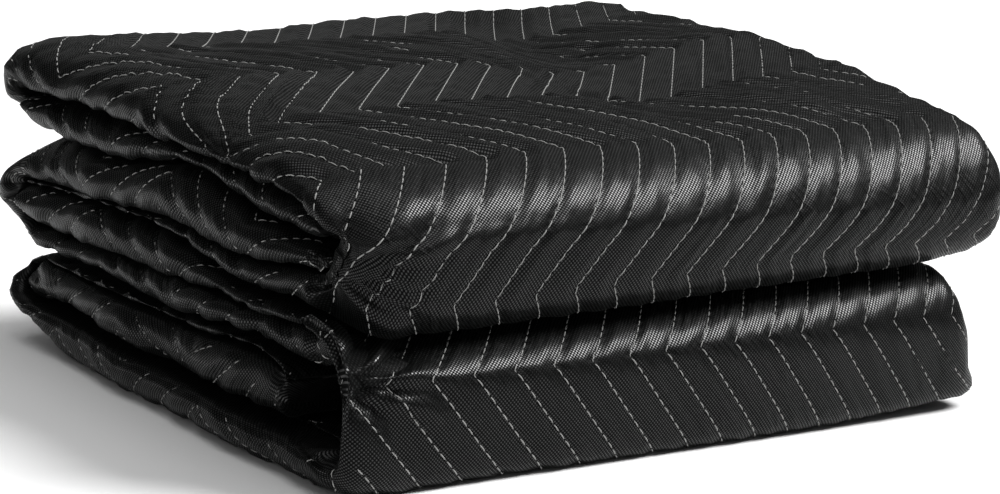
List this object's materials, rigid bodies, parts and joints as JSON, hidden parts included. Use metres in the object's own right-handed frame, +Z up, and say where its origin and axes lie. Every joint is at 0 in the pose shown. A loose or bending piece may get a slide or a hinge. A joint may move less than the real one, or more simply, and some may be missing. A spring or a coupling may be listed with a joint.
{
  "type": "folded moving blanket",
  "caption": "Thick quilted black moving blanket, folded in quarters and then to and fro into a soft, rounded block with its fold edges showing on one side.",
  "frame": {"origin": "middle of the footprint, on the surface the blanket lies on", "axes": "+X along the two front rolls, away from the side where the leaf edges show; +Y from the front rolls to the back folds; +Z up"},
  "size_m": [0.467, 0.419, 0.2149],
  "materials": {
    "blanket": "black woven polyester with a slight sheen, quilted"
  },
  "bodies": {
    "root": {"blanket": "blanket"}
  },
  "joints": []
}
